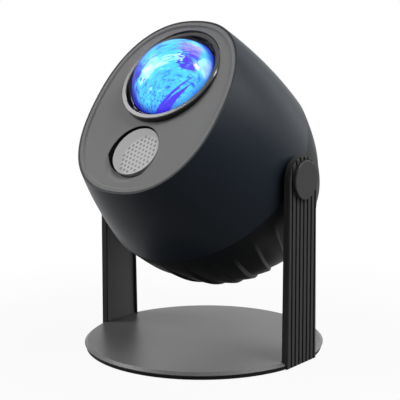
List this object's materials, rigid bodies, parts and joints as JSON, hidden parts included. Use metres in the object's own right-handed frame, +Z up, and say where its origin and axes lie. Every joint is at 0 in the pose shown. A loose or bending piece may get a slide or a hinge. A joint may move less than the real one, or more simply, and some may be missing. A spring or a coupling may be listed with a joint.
{
  "type": "planetarium projector",
  "caption": "Night-sky projector: a barrel-shaped head with a domed glass lens and a dished star port, tilting in a ribbed two-armed yoke on a round flat base.",
  "frame": {"origin": "centre of the base's underside, on the table", "axes": "+Z up; +X along the head's tilt axis; the head faces -Y and up"},
  "size_m": [0.1538, 0.1597, 0.2014],
  "materials": {
    "base_metal": "satin grey coat",
    "pad_rubber": "matte",
    "strip_metal": "satin dark grey coat",
    "fastener_steel": "zinc plated",
    "spring_steel": "plain",
    "cover_plastic": "fine satin",
    "cap_plastic": "satin",
    "bush_plastic": "natural acetal",
    "shell_plastic": "fine matte",
    "rear_plastic": "fine matte",
    "face_plastic": "satin",
    "bezel_plastic": "semi gloss",
    "lens_glass": "polished clear",
    "seal_rubber": "matte",
    "star_plastic": "satin translucent",
    "inner_plastic": "moulded black",
    "module_brass": "turned",
    "nebula_plastic": "rippled tinted",
    "gear_plastic": "natural acetal",
    "pinion_brass": "machined",
    "motor_steel": "plated",
    "sink_aluminium": "extruded",
    "board_plastic": "solder mask",
    "emitter_plastic": "silicone",
    "switch_plastic": "moulded black",
    "button_plastic": "satin"
  },
  "bodies": {
    "yoke": {"base_plate": "base_metal", "foot_pad": "pad_rubber", "yoke_strip": "strip_metal", "yoke_screws": "fastener_steel", "arm_cover_right": "cover_plastic", "arm_cover_left": "cover_plastic", "hinge_cap_right": "cap_plastic", "hinge_cap_left": "cap_plastic", "pivot_bush_right": "bush_plastic", "pivot_bush_left": "bush_plastic", "friction_washer_right": "spring_steel", "friction_washer_left": "spring_steel"},
    "head": {"pivot_shaft_right": "fastener_steel", "pivot_shaft_left": "fastener_steel", "pivot_nut_right": "fastener_steel", "pivot_nut_left": "fastener_steel", "front_shell": "shell_plastic", "rear_shell": "rear_plastic", "face_plate": "face_plastic", "lens_bezel": "bezel_plastic", "dome_lens": "lens_glass", "lens_seal": "seal_rubber", "lens_clamp": "bezel_plastic", "star_lens": "star_plastic", "star_sleeve": "inner_plastic", "star_module": "module_brass", "optics_barrel": "inner_plastic", "condenser_lens": "lens_glass", "lens_retainer": "inner_plastic", "wheel_retainer": "inner_plastic", "drive_motor": "motor_steel", "heat_sink": "sink_aluminium", "lamp_board": "board_plastic", "lamp_emitter": "emitter_plastic", "head_chassis": "inner_plastic", "chassis_posts": "pinion_brass", "chassis_screws": "fastener_steel", "barrel_screws": "fastener_steel", "sink_screws": "fastener_steel", "shell_screws": "fastener_steel", "rear_panel": "rear_plastic", "control_board": "board_plastic", "button_switches": "switch_plastic", "power_inlet": "switch_plastic"},
    "nebula": {"nebula_dome": "nebula_plastic", "wheel_gear": "gear_plastic"},
    "pinion": {"motor_pinion": "pinion_brass"},
    "mode_key": {"mode_button": "button_plastic"},
    "power_key": {"power_button": "button_plastic"},
    "light_key": {"light_button": "button_plastic"}
  },
  "joints": [
    {"name": "head_tilt", "type": "hinge", "parent": "yoke", "child": "head", "pos_m": [0, 0, 0.1107], "axis": [-1, 0, 0], "range_deg": [-45, 90]},
    {"name": "nebula_spin", "type": "hinge", "parent": "head", "child": "nebula", "pos_m": [0, -0.01516, 0.15633], "axis": [0, -0.7373, 0.6756], "continuous": true},
    {"name": "pinion_spin", "type": "hinge", "parent": "head", "child": "pinion", "pos_m": [0.02065, -0.03508, 0.13459], "axis": [0, -0.7373, 0.6756], "continuous": true},
    {"name": "mode_press", "type": "slide", "parent": "head", "child": "mode_key", "axis": [0, -0.7373, 0.6756], "range_m": [0, 0.0008], "stiffness_N_per_m": 1500, "springref_m": -0.0004},
    {"name": "power_press", "type": "slide", "parent": "head", "child": "power_key", "axis": [0, -0.7373, 0.6756], "range_m": [0, 0.0008], "stiffness_N_per_m": 1500, "springref_m": -0.0004},
    {"name": "light_press", "type": "slide", "parent": "head", "child": "light_key", "axis": [0, -0.7373, 0.6756], "range_m": [0, 0.0008], "stiffness_N_per_m": 1500, "springref_m": -0.0004}
  ],
  "couplings": [
    {"joint": "pinion_spin", "follows": "nebula_spin", "ratio": -5}
  ]
}
